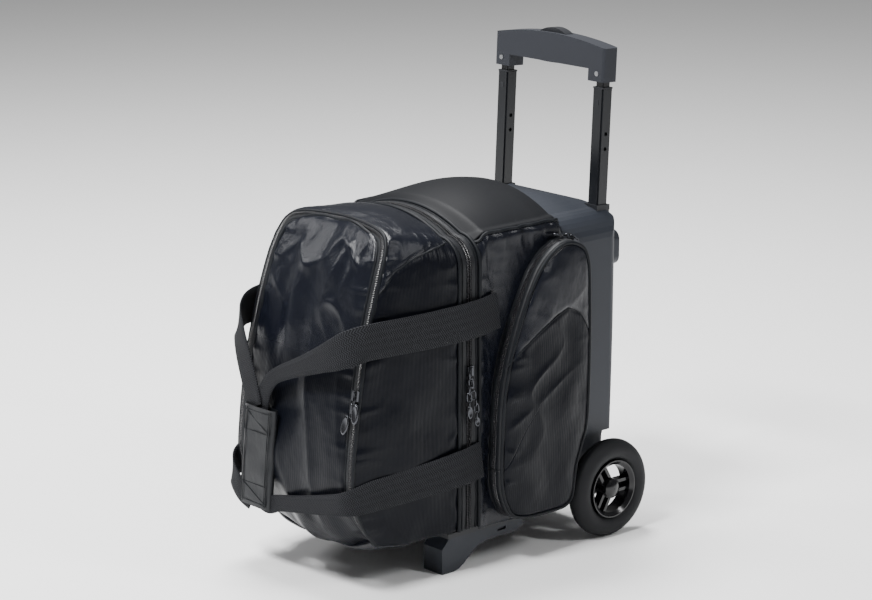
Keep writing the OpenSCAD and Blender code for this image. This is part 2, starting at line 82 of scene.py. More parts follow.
def curve(pts, n, closed=False, smooth=True):
    """A smooth line through pts, as n points evenly spaced along it."""
    p = np.asarray(pts, float)
    if smooth and len(p) > 2:
        if closed:
            ext = np.vstack([p[-1:], p, p[:2]])
        else:
            ext = np.vstack([2 * p[0] - p[1], p, 2 * p[-1] - p[-2]])
        rows = []
        for k in range(len(ext) - 3):
            a, b, c, d = ext[k:k + 4]
            t = np.linspace(0, 1, 16, endpoint=False)[:, None]
            rows.append(0.5 * (2 * b + (c - a) * t + (2 * a - 5 * b + 4 * c - d) * t ** 2
                               + (3 * b - a - 3 * c + d) * t ** 3))
        p = np.vstack(rows + [ext[-2:-1]])
    elif closed:
        p = np.vstack([p, p[:1]])
    s = np.r_[0, np.cumsum(np.linalg.norm(np.diff(p, axis=0), axis=1))]
    at = np.linspace(0, s[-1], n)
    return np.stack([np.interp(at, s, p[:, k]) for k in range(p.shape[1])], 1)


def arch(hw, zb, zt, rc, cr, n):
    """An upturned U in X and Z from the +X bottom over the crown to the -X bottom, n points.

    hw is its half width, zb and zt its bottom and shoulder, rc the corner radius and cr the crown's rise.
    """
    hc = hw - rc
    big = (hc * hc + cr * cr) / (2 * cr)
    a = math.asin(hc / big)
    k = np.linspace(0, 1, 12)
    right = [(hw, zb)]
    right += [(hc + rc * math.cos(q * math.pi / 2), zt - rc + rc * math.sin(q * math.pi / 2)) for q in k]
    top = [(big * math.sin(a * (1 - q)), zt + cr - big + big * math.cos(a * (1 - q))) for q in k[1:]]
    half = np.array(right + top)
    full = np.vstack([half, (half * [-1, 1])[::-1][1:]])
    return curve(full, n, smooth=False)


def normals(P):
    """A unit normal at each point of a grid."""
    du, dv = np.gradient(P, axis=0), np.gradient(P, axis=1)
    n = np.cross(du, dv)
    return n / np.maximum(np.linalg.norm(n, axis=2, keepdims=True), 1e-9)


def relaxed(line, times):
    """The line with each inner point eased towards its neighbours, a number of times."""
    line = np.array(line)
    for _ in range(times):
        line[1:-1] = (line[:-2] + 2 * line[1:-1] + line[2:]) / 4
    return line


# ---------------------------------------------------------------- mesh helpers
def surface(name, P, mat, body, uv=None, mask=None, thick=0.0, flip=False):
    """A sheet through a grid of points in mm. UVs are in metres along the grid."""
    nu, nv, _ = P.shape
    a = (np.arange(nu - 1)[:, None] * nv + np.arange(nv - 1)[None]).ravel()
    F = np.stack([a, a + nv, a + nv + 1, a + 1], 1)
    if flip:
        F = F[:, ::-1]
    me = bpy.data.meshes.new(name)
    me.from_pydata((P.reshape(-1, 3) * MM).tolist(), [], F.tolist())
    if uv is None:
        su = np.cumsum(np.r_[0, np.linalg.norm(np.diff(P[:, nv // 2], axis=0), axis=1)]) * MM
        sv = np.cumsum(np.r_[0, np.linalg.norm(np.diff(P[nu // 2], axis=0), axis=1)]) * MM
        uv = np.stack(np.meshgrid(su, sv, indexing="ij"), -1)
    layer = me.uv_layers.new(name="UVMap")
    layer.data.foreach_set("uv", uv.reshape(-1, 2)[F.ravel()].ravel().astype(np.float32))
    if mask is not None:
        at = me.attributes.new("mask", "FLOAT", "POINT")
        at.data.foreach_set("value", np.broadcast_to(mask, (nu, nv)).ravel().astype(np.float32))
    me.polygons.foreach_set("use_smooth", [True] * len(me.polygons))
    o = bpy.data.objects.new(name, me)
    bpy.context.scene.collection.objects.link(o)
    me.materials.append(mat)
    if thick:
        m = o.modifiers.new("thick", "SOLIDIFY")
        m.thickness, m.offset = thick * MM, -1
    if body:
        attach(o, body)
    return o


def frames(path, up):
    """Along a path: its direction, the way to its side and the way up from it."""
    t = np.gradient(path, axis=0)
    t /= np.maximum(np.linalg.norm(t, axis=1, keepdims=True), 1e-9)
    up = np.broadcast_to(np.asarray(up, float), path.shape)
    side = np.cross(t, up)
    side /= np.maximum(np.linalg.norm(side, axis=1, keepdims=True), 1e-9)
    return t, side, np.cross(side, t)


def tube(name, path, r, mat, body, up=(0, 0.3, 1), seg=10):
    """A round cord, wire or piping of radius r along a path in mm."""
    path = np.asarray(path, float)
    _, s, u = frames(path, up)
    a = np.linspace(0, 2 * np.pi, seg + 1)
    P = path[:, None] + r * (np.cos(a)[None, :, None] * s[:, None] + np.sin(a)[None, :, None] * u[:, None])
    return surface(name, P, mat, body, flip=True)


EDGE = 0.6 / 38  # share of a webbing's width that its rounded edge takes


def band(name, path, out, w, t, mat, body):
    """Flat webbing: path is its centre line, out the way its face looks, w its width, t its thickness."""
    path = np.asarray(path, float)
    tan = np.gradient(path, axis=0)
    tan /= np.linalg.norm(tan, axis=1, keepdims=True)
    out = np.broadcast_to(np.asarray(out, float), path.shape)
    wide = np.cross(tan, out)
    wide /= np.linalg.norm(wide, axis=1, keepdims=True)
    out = np.cross(wide, tan)
    w = np.broadcast_to(w, len(path))[:, None]
    prof = [(-.5, 0), (-.5 + EDGE, .5), (-.25, .5), (0, .5), (.25, .5), (.5 - EDGE, .5), (.5, 0),
            (.5 - EDGE, -.5), (.25, -.5), (0, -.5), (-.25, -.5), (-.5 + EDGE, -.5), (-.5, 0)]
    P = np.stack([path + wide * w * a + out * t * b for a, b in prof], 1)
    s = np.r_[0, np.cumsum(np.linalg.norm(np.diff(path, axis=0), axis=1))] * MM
    v = np.array([a for a, _ in prof]) * float(w.mean()) * MM
    uv = np.stack([np.repeat(s[:, None], len(prof), 1), np.repeat(v[None], len(path), 0)], -1)
    return surface(name, P, mat, body, uv=uv, flip=True)


# ---------------------------------------------------------------- materials
# things per metre in the cloths and the zips
WEAVE, RIBS, TWILL, WEB_CORDS, TEETH_PITCH = 620, 330, 330, 147, 480
RIB_SPEC = 0.28  # specular level of the coated cloth


def material(name, colour, rough=0.5, spec=0.5, metal=0.0):
    m = bpy.data.materials.new(name)
    m.use_nodes = True
    b = m.node_tree.nodes["Principled BSDF"]
    b.inputs["Base Color"].default_value = (*colour, 1)
    b.inputs["Roughness"].default_value = rough
    b.inputs["Specular IOR Level"].default_value = spec
    b.inputs["Metallic"].default_value = metal
    return m, m.node_tree, b


def math_node(nt, op, *args):
    n = nt.nodes.new("ShaderNodeMath")
    n.operation = op
    for k, a in enumerate(args):
        if isinstance(a, (int, float)):
            n.inputs[k].default_value = a
        else:
            nt.links.new(a, n.inputs[k])
    return n.outputs[0]


def bump(nt, b, height, strength, distance, after=None):
    n = nt.nodes.new("ShaderNodeBump")
    n.inputs["Strength"].default_value = strength
    n.inputs["Distance"].default_value = distance
    nt.links.new(height, n.inputs["Height"])
    if after is not None:
        nt.links.new(after, n.inputs["Normal"])
    nt.links.new(n.outputs[0], b.inputs["Normal"])
    return n.outputs[0]


def uv_of(nt):
    n = nt.nodes.new("ShaderNodeUVMap")
    n.uv_map = "UVMap"
    s = nt.nodes.new("ShaderNodeSeparateXYZ")
    nt.links.new(n.outputs[0], s.inputs[0])
    return s.outputs[0], s.outputs[1]


def object_noise(nt, scale, detail=3.0, stretch=(1, 1, 1)):
    c = nt.nodes.new("ShaderNodeTexCoord")
    mp = nt.nodes.new("ShaderNodeMapping")
    mp.inputs["Scale"].default_value = stretch
    n = nt.nodes.new("ShaderNodeTexNoise")
    n.inputs["Scale"].default_value = scale
    n.inputs["Detail"].default_value = detail
    nt.links.new(c.outputs["Object"], mp.inputs[0])
    nt.links.new(mp.outputs[0], n.inputs["Vector"])
    return n.outputs[0]


def wave(nt, x, per_metre):
    """A sine along x, which is in metres."""
    return math_node(nt, "SINE", math_node(nt, "MULTIPLY", x, 2 * math.pi * per_metre))


def fine(nt, b, scale, strength=0.25, distance=0.0003):
    """A fine grain over the whole surface."""
    bump(nt, b, object_noise(nt, scale, 4), strength, distance)


def cloth(name, colour, rough, rib=False):
    """Coated nylon: a fine square weave, or fine ribs where the mask says so."""
    m, nt, b = material(name, colour, rough, RIB_SPEC)
    u, v = uv_of(nt)
    weave = math_node(nt, "MULTIPLY", wave(nt, u, WEAVE), wave(nt, v, WEAVE))
    crumple = object_noise(nt, 9, 3, (1, 1, 0.55))
    crumple.node.noise_type = "RIDGED_MULTIFRACTAL"
    crumple.node.inputs["Roughness"].default_value = 0.35
    soft = bump(nt, b, crumple, 0.4, 0.008)
    soft = bump(nt, b, object_noise(nt, 30, 3, (1, 1, 0.6)), 0.55, 0.0045, soft)
    if not rib:
        bump(nt, b, weave, 0.22, 0.00025, soft)
        return m
    at = nt.nodes.new("ShaderNodeAttribute")
    at.attribute_name = "mask"
    ribs = wave(nt, v, RIBS)
    mix = nt.nodes.new("ShaderNodeMix")
    nt.links.new(at.outputs["Fac"], mix.inputs[0])
    nt.links.new(weave, mix.inputs[2])
    nt.links.new(ribs, mix.inputs[3])
    bump(nt, b, mix.outputs[0], 0.22, 0.0003, soft)
    dark = nt.nodes.new("ShaderNodeMix")
    dark.data_type = "RGBA"
    nt.links.new(at.outputs["Fac"], dark.inputs[0])
    dark.inputs[6].default_value = (*colour, 1)
    dark.inputs[7].default_value = (*[c * 0.6 for c in colour], 1)
    nt.links.new(dark.outputs[2], b.inputs["Base Color"])
    r = math_node(nt, "ADD", math_node(nt, "MULTIPLY", at.outputs["Fac"], 0.12), rough)
    nt.links.new(r, b.inputs["Roughness"])
    spec = math_node(nt, "MULTIPLY_ADD", at.outputs["Fac"], -0.17, RIB_SPEC)
    nt.links.new(spec, b.inputs["Specular IOR Level"])
    return m


NYLON = cloth("nylon_cloth", (0.005, 0.006, 0.010), 0.23)
RIBBED = cloth("ribbed_cloth", (0.005, 0.006, 0.010), 0.24, rib=True)
TAPE = cloth("zip_tape", (0.006, 0.007, 0.009), 0.5)
PIPING, nt_, b_ = material("piping", (0.005, 0.006, 0.008), 0.5, 0.16)
fine(nt_, b_, 1500)
TOP, nt_, b_ = material("top_panel_cloth", (0.005, 0.0055, 0.007), 0.55, 0.14)
fine(nt_, b_, 1800, 0.2)

WEB, nt_, b_ = material("webbing", (0.008, 0.009, 0.010), 0.78, 0.14)
u_, v_ = uv_of(nt_)
zig = math_node(nt_, "PINGPONG", v_, 0.0034)
her = wave(nt_, math_node(nt_, "ADD", u_, zig), TWILL)
cords = wave(nt_, v_, WEB_CORDS)
bump(nt_, b_, math_node(nt_, "ADD", her, math_node(nt_, "MULTIPLY", cords, 0.08)), 0.7, 0.0004)
ramp = nt_.nodes.new("ShaderNodeMix")
ramp.data_type = "RGBA"
nt_.links.new(math_node(nt_, "MULTIPLY_ADD", her, 0.5, 0.5), ramp.inputs[0])
ramp.inputs[6].default_value = (0.002, 0.0022, 0.003, 1)
ramp.inputs[7].default_value = (0.026, 0.027, 0.031, 1)
nt_.links.new(ramp.outputs[2], b_.inputs["Base Color"])

TEETH, nt_, b_ = material("zip_teeth", (0.006, 0.006, 0.008), 0.33, 0.5)
u_, v_ = uv_of(nt_)
bump(nt_, b_, wave(nt_, u_, TEETH_PITCH), 0.8, 0.0008)

SHELL, nt_, b_ = material("shell_plastic", (0.017, 0.020, 0.027), 0.45, 0.32)
fine(nt_, b_, 2200, 0.12, 0.0002)
DARK, nt_, b_ = material("black_plastic", (0.010, 0.011, 0.014), 0.45, 0.4)
fine(nt_, b_, 1600, 0.15, 0.0002)
GRIP, nt_, b_ = material("grip_plastic", (0.013, 0.015, 0.021), 0.5, 0.4)
fine(nt_, b_, 1900, 0.18, 0.0002)
GLOSS, nt_, b_ = material("gloss_black", (0.004, 0.004, 0.005), 0.2, 0.38)
TYRE, nt_, b_ = material("tyre_rubber", (0.010, 0.0105, 0.012), 0.62, 0.2)
bump(nt_, b_, object_noise(nt_, 700, 4), 0.3, 0.0004)
TUBE, nt_, b_ = material("black_tube", (0.006, 0.007, 0.009), 0.28, 0.5)
STEEL, nt_, b_ = material("steel", (0.55, 0.56, 0.58), 0.28, 0.5, metal=1.0)
PULL, nt_, b_ = material("dark_metal", (0.055, 0.057, 0.064), 0.22, 0.6, metal=0.85)
FOAM, nt_, b_ = material("foam", (0.03, 0.03, 0.034), 0.9, 0.2)
fine(nt_, b_, 700, 0.5, 0.0006)
LINING, nt_, b_ = material("lining", (0.055, 0.055, 0.062), 0.75, 0.3)
fine(nt_, b_, 1500, 0.3, 0.0003)

# ---------------------------------------------------------------- CAD nodes shown as they are
# node: its material and the width of its edge bevel in mm, or 0 for split edges
SHOWN = {
    "rear_shell": (SHELL, 1.2), "rear_bumper": (SHELL, 2.0), "foot_left": (SHELL, 1.5), "foot_right": (SHELL, 1.5),
    "bumper_screws": (STEEL, 0), "foot_screws": (STEEL, 0), "grip_screws": (STEEL, 0.3), "base_board": (DARK, 0.6),
    "axle_left": (STEEL, 0.3), "axle_right": (STEEL, 0.3), "axle_clips": (STEEL, 0), "handle_sleeves": (TUBE, 0.3),
    "sleeve_collars": (DARK, 0.4), "sleeve_bracket": (DARK, 0.4), "ball_cup": (FOAM, 1.0),
    "back_lining": (LINING, 0.4), "shoe_divider": (LINING, 0.8), "tyre_left": (TYRE, 0), "tyre_right": (TYRE, 0),
    "rim_left": (GLOSS, 0.5), "rim_right": (GLOSS, 0.5),
    "hub_cap_left": (GLOSS, 0.4), "hub_cap_right": (GLOSS, 0.4),
    "stage1_tubes": (TUBE, 0.3), "stage1_collars": (DARK, 0.2), "stage2_tubes": (TUBE, 0.3),
    "lock_blocks": (DARK, 0.3), "grip_body": (GRIP, 1.6), "grip_cover": (GRIP, 1.6), "grip_button": (DARK, 1.0),
    "release_rods": (STEEL, 0.2),
}
SHARP = math.radians(35)  # edges sharper than this are bevelled or split
for n in NODES:
    if n.startswith("slider_"):
        SHOWN[n] = (PULL, 0.4)
for n, (mat, bevel) in SHOWN.items():
    o = NODES[n]
    o.data.materials.clear()
    o.data.materials.append(mat)
    o.data.polygons.foreach_set("use_smooth", [True] * len(o.data.polygons))
    if bevel:
        m = o.modifiers.new("bevel", "BEVEL")
        m.width, m.segments, m.limit_method, m.angle_limit = bevel * MM, 2, "ANGLE", SHARP
        m.harden_normals = True
    else:
        m = o.modifiers.new("edges", "EDGE_SPLIT")
        m.split_angle = SHARP

# the button's coil spring, standing in the handle's leaning frame
LEAN, HANDLE_Y, HANDLE_Z = math.radians(2.7), 201, 416
SPRING_Z, SPRING_H, SPRING_R, WIRE = 189.0, 5.0, 2.9, 0.3
turn = np.linspace(0, 2 * math.pi * 3, 73)
rise = SPRING_Z + WIRE + (SPRING_H - 2 * WIRE) * np.clip((turn / (2 * math.pi) - 0.4) / 2.2, 0, 1)
coil = np.column_stack([SPRING_R * np.cos(turn),
                        HANDLE_Y + SPRING_R * np.sin(turn) * math.cos(LEAN) + rise * math.sin(LEAN),
                        HANDLE_Z - SPRING_R * np.sin(turn) * math.sin(LEAN) + rise * math.cos(LEAN)])
spring = tube("button_coil", coil, WIRE, STEEL, "stage2", seg=8)
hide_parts("button_spring")
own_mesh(spring)

# ---------------------------------------------------------------- soft ball section
CLOTH_T = 1.6  # thickness of the cloth sheets
ZY = -54.0  # where the main zip's teeth meet
SHELL_Y = 112  # front edge of the rear shell
SHOE_Y = -72.0  # rear edge of the shoe section's cloth
N_SIDE, N_MID, N_TOP = 110, 46, 90


def crown_at(y):
    """How far the top panel's middle rises above its shoulders."""
    return 18 + 15 * np.sin(np.pi * np.clip((y + 60) / 215, 0, 1)) ** 1.3


def corner_at(y):
    """The radius of the bag's upper corners."""
    return 12 + 8 * float(ease(y, 70, SHELL_Y))


def ball_profile(y, n_side, n_top):
    """The right side up to the seam, and the top from seam to seam, both as X and Z at this Y."""
    t, q = float(ease(y, -38, -20)), float(ease(y, 97, SHELL_Y))
    hw, zt = 124.6 - 2.6 * t - 4.4 * q, 417.6 + 6.4 * t - 5 * q
    rc, cr = 32 + (corner_at(y) - 32) * t + 12 * q, 23 + (float(crown_at(y)) - 23) * t
    cr += (15.5 - cr) * q
    hc = hw - rc
    seam = math.radians(52)

    def corner(lo, hi, n):
        return [(hc + rc * math.cos(g), zt - rc + rc * math.sin(g)) for g in np.linspace(lo, hi, n)]

    side = curve([(hw, 52)] + corner(0, seam, 10), n_side, smooth=False)
    big = (hc * hc + cr * cr) / (2 * cr)
    a = math.asin(hc / big)
    half = corner(seam, math.radians(90), 6)
    half += [(big * math.sin(a * (1 - k)), zt + cr - big + big * math.cos(a * (1 - k)))
             for k in np.linspace(0.06, 1, 20)]
    half = np.array(half)
    top = curve(np.vstack([half, (half * [-1, 1])[::-1][1:]]), n_top, smooth=False)
    return side, top


def at_y(xz, y):
    """Points given as X and Z, set at this Y."""
    return np.column_stack([xz[:, 0], np.full(len(xz), y), xz[:, 1]])


ys = np.r_[np.linspace(-36.6, -18, 12), np.linspace(-15, 92, N_MID), np.linspace(94, 111, 18)]
sides, tops = zip(*(ball_profile(y, N_SIDE, N_TOP) for y in ys))
side = np.stack([at_y(q, y) for q, y in zip(sides, ys)])
top = np.stack([at_y(q, y) for q, y in zip(tops, ys)])
for s, tag in ((1, "right"), (-1, "left")):
    P = side.copy()
    Y, Z = P[..., 1], P[..., 2]
    seam_top, seam_front = np.clip((424 - Z) / 50, 0, 1), np.clip((Y + 36) / 26, 0, 1)
    d = 5.0 * np.exp(-seam_top * 2.5) * (1 - np.exp(-seam_top * 22)) * ridge(Y / 13 + Z / 70, Z / 45, 1 + s)
    d += 3.6 * np.exp(-seam_front * 2) * (1 - np.exp(-seam_front * 9)) * ridge(Z / 15, Y / 40, 4 + s)
    d += 2.6 * noise(Y / 42 + 3, Z / 60, 6) * seam_top ** 0.5
    d += 2.0 * np.sin(np.pi * np.clip((Y + 36) / 148, 0, 1))
    P[..., 0] += d
    P[..., 0] *= s
    surface(f"ball_side_{tag}", P, NYLON, "bag", thick=CLOTH_T, flip=s > 0)
    edge = curve(P[::3, -1] + [s * 1.6, 0, 1.2], 70)
    tube(f"top_piping_{tag}", edge, 2.1, PIPING, "bag")
T = top.copy()
T[..., 2] += 0.8 * noise(T[..., 0] / 60, T[..., 1] / 60, 3)
panel = surface("top_panel_cover", T, TOP, "bag", thick=CLOTH_T, flip=True)
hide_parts("top_panel", "ball_walls")
across = np.column_stack([np.linspace(-118, 118, 6), np.full(6, 52.6)])
rows = np.stack([at_y(across, y) for y in (-53, 30, 111)])
surface("ball_floor_lining", rows, LINING, "bag", thick=1.0)
# the seam where the cloth turns in to the shell
last, crest = side[-1][:, ::2], top[-1][:, ::2]
rim = at_y(np.vstack([last[::4], crest[::4], last[::-4] * [-1, 1]]), SHELL_Y - 0.2)
tube("shell_seam_piping", curve(rim, 150, smooth=False), 1.5, PIPING, "bag", up=(0, 1, 0))

# ---------------------------------------------------------------- main zip: two half bands that part at the teeth
ARC = arch(125.6, 56, 418.6, 32, 23, 260)


def arc_at(y, off):
    """The zip's arch at this Y, moved outwards by off."""
    n = np.column_stack([np.gradient(ARC[:, 1]), -np.gradient(ARC[:, 0])])
    n /= np.linalg.norm(n, axis=1, keepdims=True)
    return at_y(ARC + n * off, y)


def half_band(name, y_teeth, y_edge, body, replaced):
    """One half of the zip: tape, a row of teeth, edge piping and the seam inside it."""
    cols = np.linspace(0, 1, 7)
    P = np.stack([arc_at(y_teeth + (y_edge - y_teeth) * c, 0.3 + 1.3 * math.sin(math.pi * c)) for c in cols], 1)
    P += (0.5 * noise(np.arange(len(P))[:, None] / 5.0, cols[None] * 2, 5))[..., None] * [1, 0, 0]
    o = surface(name + "_tape", P, TAPE, body, thick=2.0, flip=(y_edge > y_teeth))
    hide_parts(replaced)
    s = 1 if y_edge > y_teeth else -1
    section = ((0, 0.2), (0.2, 1.1), (1.6, 1.3), (3.0, 1.1), (3.4, 0.0))
    Q = np.stack([arc_at(y_teeth + s * c, 1.0 + h) for c, h in section], 1)
    surface(name + "_teeth", Q, TEETH, body, thick=1.0, flip=(y_edge > y_teeth))
    tube(name + "_piping", arc_at(y_edge - s * 1.5, 2.2), 2.3, PIPING, body, up=(0, 1, 0))
    tube(name + "_inner_seam", arc_at(y_edge - s * 7.0, 1.7), 0.7, PIPING, body, up=(0, 1, 0), seg=6)


half_band("main_zip_back", ZY + 0.5, -36.0, "bag", "main_zip_rear")
half_band("main_zip_fore", ZY - 0.5, SHOE_Y, "shoe_section", "main_zip_front")

# ---------------------------------------------------------------- shoe section
B_SIDE = [(99, -178, 57), (104, -199, 80), (108, -216, 110), (109, -222, 139), (109, -220, 176), (109, -214, 224),
          (108, -206, 272), (106, -192, 330), (104, -176, 380), (101, -165, 407)]
B_TOP = [(95, -157, 423), (84, -151, 433), (62, -147, 438), (32, -143, 440), (0, -141, 441)]
N_LEG, N_CROWN, N_ACROSS = 120, 46, 64


def u_loop(side_pts, top_pts):
    """An upturned U through the right half's points and their mirror."""
    a = curve(side_pts, N_LEG)
    b = curve([side_pts[-1]] + top_pts, N_CROWN)[1:]
    half = np.vstack([a, b])
    return np.vstack([half, (half * [-1, 1, 1])[::-1][1:]])


ai = arch(124.3, 58, 418, 32, 23, 400)
ka = int(np.argmin(np.abs(ai[:200, 1] - 396)))
A_half = np.vstack([curve(ai[:ka + 1], N_LEG, smooth=False), curve(ai[ka:200], N_CROWN, smooth=False)[1:]])
A = np.vstack([A_half, (A_half * [-1, 1])[::-1][1:]])
A = at_y(A, SHOE_Y)
B = u_loop(B_SIDE, B_TOP)
S = np.linspace(0, 1, N_ACROSS)[None, :, None]
G = A[:, None] * (1 - S) + B[:, None] * S
U = normals(G)
if U[20, N_ACROSS // 2, 0] < 0:
    U = -U
s1 = S[..., 0]
gy, gz, gx = G[..., 1], G[..., 2], G[..., 0]
puff = 6.0 * np.sin(np.pi * s1) ** 0.8
edge_f, edge_b = np.exp(-(1 - s1) * 9), np.exp(-s1 * 9)
onside = ease(np.abs(gx), 70, 105)
wr = 4.6 * edge_f * (1 - np.exp(-(1 - s1) * 60)) * ridge(gz / 16, s1 * 4 + gx / 300, 7)
wr += 4.6 * edge_b * (1 - np.exp(-s1 * 60)) * ridge(gz / 19, s1 * 3 + 9 + gx / 300, 8)
wr += 3.0 * noise(gy / 38, gz / 46 + gx / 200, 9) * np.sin(np.pi * s1)
wr += 2.4 * ridge((gz + 0.9 * gy) / 44, gz / 130 + gx / 300, 2) * np.sin(np.pi * s1) * onside * ease(gz, 120, 60)
# the curved seam: ribbed cloth below it, plain above
SEAM = np.array([(-198, 338), (-196, 345), (-180, 367), (-158, 393), (-133, 406), (-97, 415), (SHOE_Y, 417)], float)
above = gz - np.interp(gy, SEAM[:, 0], SEAM[:, 1])
mask = onside * ease(-above, -1, 1)
near = np.exp(-np.abs(above) / 14)
wr += onside * near * (1 - np.exp(-np.abs(above) / 2.5)) * 2.6 * ridge(gy / 12, gz / 60, 10)
wr -= onside * 1.6 * np.exp(-(above / 2.2) ** 2)
G2 = G + U * (puff + wr)[..., None]
shoe = surface("shoe_section_cloth", G2, RIBBED, "shoe_section", mask=mask, thick=CLOTH_T, flip=True)
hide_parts("shoe_walls", "front_zip")
for s, tag in ((1, "right"), (-1, "left")):
    line = []
    for y in np.linspace(-197, -73, 60):
        want = np.array([y, np.interp(y, SEAM[:, 0], SEAM[:, 1])])
        rows_ = slice(0, N_LEG + 20) if s > 0 else slice(len(G2) - N_LEG - 20, len(G2))
        near_ = G2[rows_].reshape(-1, 3)
        k = np.argmin(((near_[:, 1:] - want) ** 2).sum(1))
        line.append(near_[k] + U[rows_].reshape(-1, 3)[k])
    tube(f"gusset_piping_{tag}", curve(relaxed(line, 4), 90), 1.5, PIPING, "shoe_section")
# underside of the shoe section
Lo = G2[0]
x = np.linspace(1, -1, 81)[:, None]
belly = (7 + 8 * np.sin(np.pi * 0.72 * S[0, :, 0]))[None]
under = np.stack([x * Lo[None, :, 0], np.repeat(Lo[None, :, 1], 81, 0),
                  Lo[None, :, 2] - (1 - np.abs(x) ** 5) * belly], -1)
under[..., 2] += 1.2 * noise(under[..., 0] / 30, under[..., 1] / 25, 11) * (1 - np.abs(x) ** 5)
surface("shoe_section_underside", under, NYLON, "shoe_section", thick=CLOTH_T)

# front arch zip: piping on the gusset edge, tape, teeth, inner piping on the panel edge
tang = np.gradient(B, axis=0)
tang /= np.linalg.norm(tang, axis=1, keepdims=True)
FORWARD = np.array([0, -0.86, 0.5])
inw = np.cross(tang, np.broadcast_to(FORWARD, B.shape))
inw /= np.linalg.norm(inw, axis=1, keepdims=True)
if inw[40, 0] > 0:
    inw = -inw
face = np.cross(inw, tang)
if face[40, 1] > 0:
    face = -face
tube("front_zip_outer_piping", B + face * 1.2, 2.6, PIPING, "shoe_section", up=(0, 1, 0))
ZIP_W = 12.5  # width of the front zip's tape
for part, mat, thick, section in (
    ("tape", TAPE, 1.4, ((0, 0.5), (3, 2.0), (6, 2.4), (9, 2.2), (ZIP_W, 1.2))),
    ("teeth", TEETH, 0.8, ((1.9, 2.0), (2.2, 3.3), (4.0, 3.6), (5.8, 3.3), (6.1, 2.0))),
):
    strip = np.stack([B + inw * w + face * h for w, h in section], 1)
    surface("front_zip_" + part, strip, mat, "shoe_section", thick=thick, flip=True)

# front panel: one cloth over both the panel and the flap
E = B + inw * ZIP_W + face * 0.8
half_n = N_LEG + 18
E = E[:half_n]
C = curve([(0, -178, 42), (0, -190, 48), (0, -204, 62), (0, -218, 86), (0, -229, 112), (0, -233, 139),
           (0, -231, 176), (0, -225, 224), (0, -216, 272), (0, -202, 330), (0, -186, 380), (0, -170, 412),
           (0, -157, 431), (0, -148, 439)], half_n)
xx = np.linspace(1, -1, 81)[:, None]
keep = (np.abs(xx) ** 2.6)
F = np.stack([xx * E[None, :, 0]] + [keep * E[None, :, k] + (1 - keep) * C[None, :, k] for k in (1, 2)], -1)
FU = normals(F)
if FU[40, 60, 1] > 0:
    FU = -FU
fx, fz = F[..., 0], F[..., 2]
ed = np.exp(-(1 - np.abs(xx)) * 9)
d = 4.4 * ed * (1 - np.exp(-(1 - np.abs(xx)) * 60)) * ridge(fz / 14, fx / 80, 3)
d += 4.2 * noise(fx / 26 + 2, fz / 80, 5) * (1 - np.abs(xx) ** 4)
d += 2.6 * ridge(fx / 46 + fz / 260 + 7, fz / 210, 6) * ease(fz, 360, 200) * (1 - np.abs(xx) ** 4)
d += 3.4 * ridge((fx + fz) / 34, (fx - fz) / 70, 8) * ease(fz, 290, 380) * (1 - np.abs(xx) ** 4)
d += 1.8 * ridge((fx - 0.4 * fz) / 22, fz / 60, 9) * ease(fz, 300, 390)
F2 = F + FU * d[..., None]
lip = np.stack([under[:, -1] * (1 - k) + F2[:, 0] * k
                - [0, 2.5 * math.sin(math.pi * k), 1.5 * math.sin(math.pi * k)] for k in np.linspace(0, 1, 7)], 1)
surface("front_bottom_seam", lip, NYLON, "shoe_section", thick=1.4)
front = surface("front_panel_cloth", F2, RIBBED, None, uv=F2[..., [2, 0]] * MM,
                mask=0.85 * ease(fz, 300, 262), thick=CLOTH_T)
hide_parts("front_panel", "front_flap")
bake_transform(front)
edge = curve(np.vstack([F2[0], F2[::4, -1], F2[-1][::-1]]), 420, smooth=False)
edge_piping = tube("front_panel_piping", edge + [0, -1.4, 0], 2.2, PIPING, None, up=(0, 1, 0))
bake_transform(edge_piping)

# ---------------------------------------------------------------- side pockets: outline and seam as Y and Z
POCKET = [(-17, 127), (-15, 100), (-8, 79), (3, 65), (22, 59), (48, 57), (84, 57), (98, 61), (105, 72), (108, 92),
          (112, 112), (120, 134), (128, 158), (131, 197), (132, 278), (130, 350), (127, 372), (120, 386), (105, 395),
          (86, 397), (66, 389), (46, 371), (28, 342), (12, 306), (-3, 264), (-13, 215), (-16, 165)]
PSEAM = np.array([(-40, 236), (-21, 249), (17, 279), (59, 306), (88, 317), (111, 307), (120, 295),
                  (140, 262)], float)


def ring(inset, x):
    """The pocket outline drawn in by inset mm, at this X."""
    q = RIM - RIM_N * inset
    return np.column_stack([np.full(len(q), x), q[:, 0], q[:, 1]])


def rings(section):
    """A strip round the pocket whose section is pairs of inset and X."""
    return np.stack([ring(inset, x) for inset, x in section], 1)


N_RIM = 241
RIM = curve(POCKET, N_RIM, closed=True)
t_ = np.gradient(RIM, axis=0)
t_[0] = t_[-1] = RIM[1] - RIM[-2]
t_ /= np.linalg.norm(t_, axis=1, keepdims=True)
RIM_N = np.column_stack([t_[:, 1], -t_[:, 0]])
mid = np.array([58.0, 225.0])
if ((RIM - mid) * RIM_N).sum() < 0:
    RIM_N = -RIM_N


def mirror(P, s):
    """The points for the right side, or their mirror for the left."""
    return P * np.array([s, 1, 1]) if s < 0 else P


